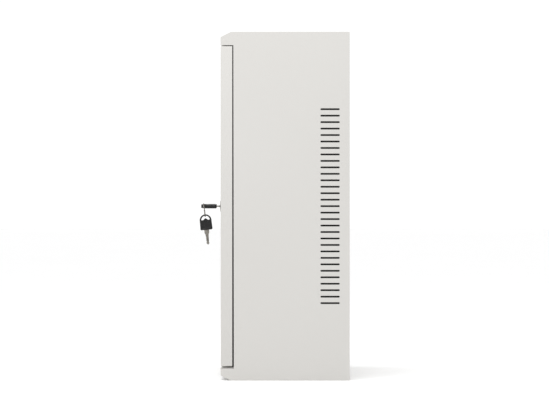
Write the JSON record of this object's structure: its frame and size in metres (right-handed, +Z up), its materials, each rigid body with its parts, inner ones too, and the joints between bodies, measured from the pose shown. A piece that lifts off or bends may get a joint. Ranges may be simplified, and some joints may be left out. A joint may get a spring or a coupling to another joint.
{
  "type": "battery box",
  "caption": "Wall-hung sheet-steel battery box with a locking door, vent slots in both sides, a battery shelf, a breaker on a rail and a keyed cam lock.",
  "frame": {"origin": "centre of the rear face, the face that goes against the wall", "axes": "+Z up; -Y out through the door; +X to the right as seen from the front"},
  "size_m": [0.4, 0.259, 0.6],
  "materials": {
    "body_paint": "light grey powder coat, fine orange peel",
    "zinc_plate": "bright zinc plate",
    "nickel_plate": "satin nickel plate",
    "key_plastic": "fine-grained black moulding",
    "filter_foam": "open-cell dust filter foam",
    "rubber": "black rubber",
    "case_plastic": "light grey moulding",
    "dark_plastic": "black moulding",
    "red_plastic": "red moulding"
  },
  "bodies": {
    "cabinet": {"back_panel": "body_paint", "battery_shelf": "body_paint", "battery_shelf_lip_front": "body_paint", "battery_shelf_lip_rear": "body_paint", "bottom_panel": "body_paint", "breaker_case": "case_plastic", "door_buffer_lower_left": "rubber", "door_buffer_lower_right": "rubber", "door_buffer_upper_left": "rubber", "door_buffer_upper_right": "rubber", "earth_nut": "nickel_plate", "earth_stud": "nickel_plate", "end_stop_left": "case_plastic", "end_stop_right": "case_plastic", "filter_frame_left": "zinc_plate", "filter_frame_right": "zinc_plate", "filter_nut_lower_left": "zinc_plate", "filter_nut_lower_right": "zinc_plate", "filter_nut_upper_left": "zinc_plate", "filter_nut_upper_right": "zinc_plate", "floor_mat": "rubber", "hinge_pin_lower": "zinc_plate", "hinge_pin_upper": "zinc_plate", "mounting_rail": "zinc_plate", "rail_screw_left": "zinc_plate", "rail_screw_right": "zinc_plate", "shelf_bracket_left": "body_paint", "shelf_bracket_right": "body_paint", "shelf_mat": "rubber", "shelf_screw_front_left": "zinc_plate", "shelf_screw_front_right": "zinc_plate", "shelf_screw_rear_left": "zinc_plate", "shelf_screw_rear_right": "zinc_plate", "side_panel_left": "body_paint", "side_panel_right": "body_paint", "terminal_negative": "dark_plastic", "terminal_positive": "red_plastic", "top_panel": "body_paint", "vent_filter_left": "filter_foam", "vent_filter_right": "filter_foam"},
    "door": {"door_panel": "body_paint", "hinge_bush_upper": "dark_plastic", "hinge_bush_lower": "dark_plastic", "lock_barrel": "nickel_plate", "lock_nut": "nickel_plate"},
    "lock": {"lock_plug": "nickel_plate", "lock_cam": "zinc_plate", "cam_screw": "zinc_plate"},
    "key": {"key_blade": "nickel_plate", "key_bow": "key_plastic"},
    "ring": {"key_ring": "nickel_plate"},
    "spare_key": {"spare_key_blade": "nickel_plate", "spare_key_bow": "key_plastic"},
    "breaker_lever": {"breaker_lever": "dark_plastic"}
  },
  "joints": [
    {"name": "door_hinge", "type": "hinge", "parent": "cabinet", "child": "door", "pos_m": [-0.194, -0.21, 0], "axis": [0, 0, -1], "range_deg": [0, 115]},
    {"name": "lock_turn", "type": "hinge", "parent": "door", "child": "lock", "pos_m": [0.155, -0.222, 0], "axis": [0, 1, 0], "range_deg": [0, 90]},
    {"name": "key_slide", "type": "slide", "parent": "lock", "child": "key", "axis": [0, -1, 0], "range_m": [0, 0.026]},
    {"name": "ring_swing", "type": "hinge", "parent": "key", "child": "ring", "pos_m": [0.16175, -0.2517, 0], "axis": [0, -0.9925, -0.1219], "range_deg": [-2, 90]},
    {"name": "spare_key_swing", "type": "hinge", "parent": "ring", "child": "spare_key", "pos_m": [0.16175, -0.24949, -0.01796], "axis": [1, 0, 0], "range_deg": [-40, 18]},
    {"name": "breaker_throw", "type": "hinge", "parent": "cabinet", "child": "breaker_lever", "pos_m": [-0.014, -0.064, 0.238], "axis": [-1, 0, 0], "range_deg": [0, 76]}
  ]
}
